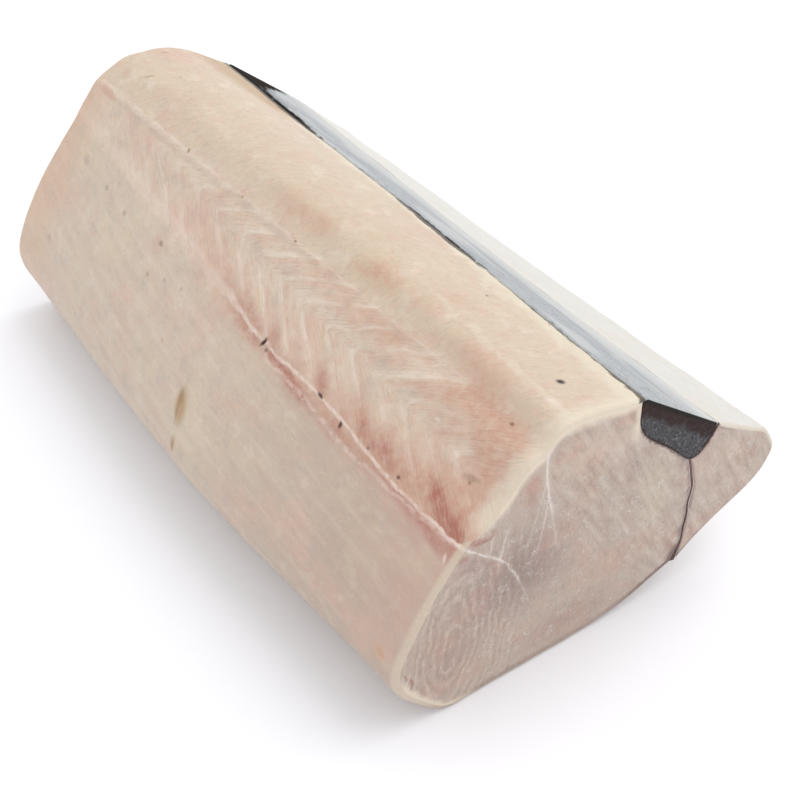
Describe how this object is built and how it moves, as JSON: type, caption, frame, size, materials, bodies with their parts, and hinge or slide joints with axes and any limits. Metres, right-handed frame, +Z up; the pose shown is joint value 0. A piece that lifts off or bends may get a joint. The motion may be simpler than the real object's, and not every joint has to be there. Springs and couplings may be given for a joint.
{
  "type": "swordfish belly block",
  "caption": "Raw swordfish belly sawn as a long block, with a thick flank, a thin tip, dark muscle and a strip of skin on top.",
  "frame": {"origin": "on the ground, under the middle of the block's bounding box", "axes": "+X along the block towards the end that is sawn square, +Y across it towards the thin tip, +Z up"},
  "size_m": [0.2998, 0.1906, 0.1268],
  "materials": {
    "pale_flesh": "moist satin",
    "dark_flesh": "rough sawn",
    "membrane": "satin",
    "skin": "smooth satin"
  },
  "bodies": {
    "root": {"large_muscle": "pale_flesh", "tip_muscle": "pale_flesh", "dark_muscle": "dark_flesh", "membrane": "membrane", "skin_strip": "skin"}
  },
  "joints": []
}
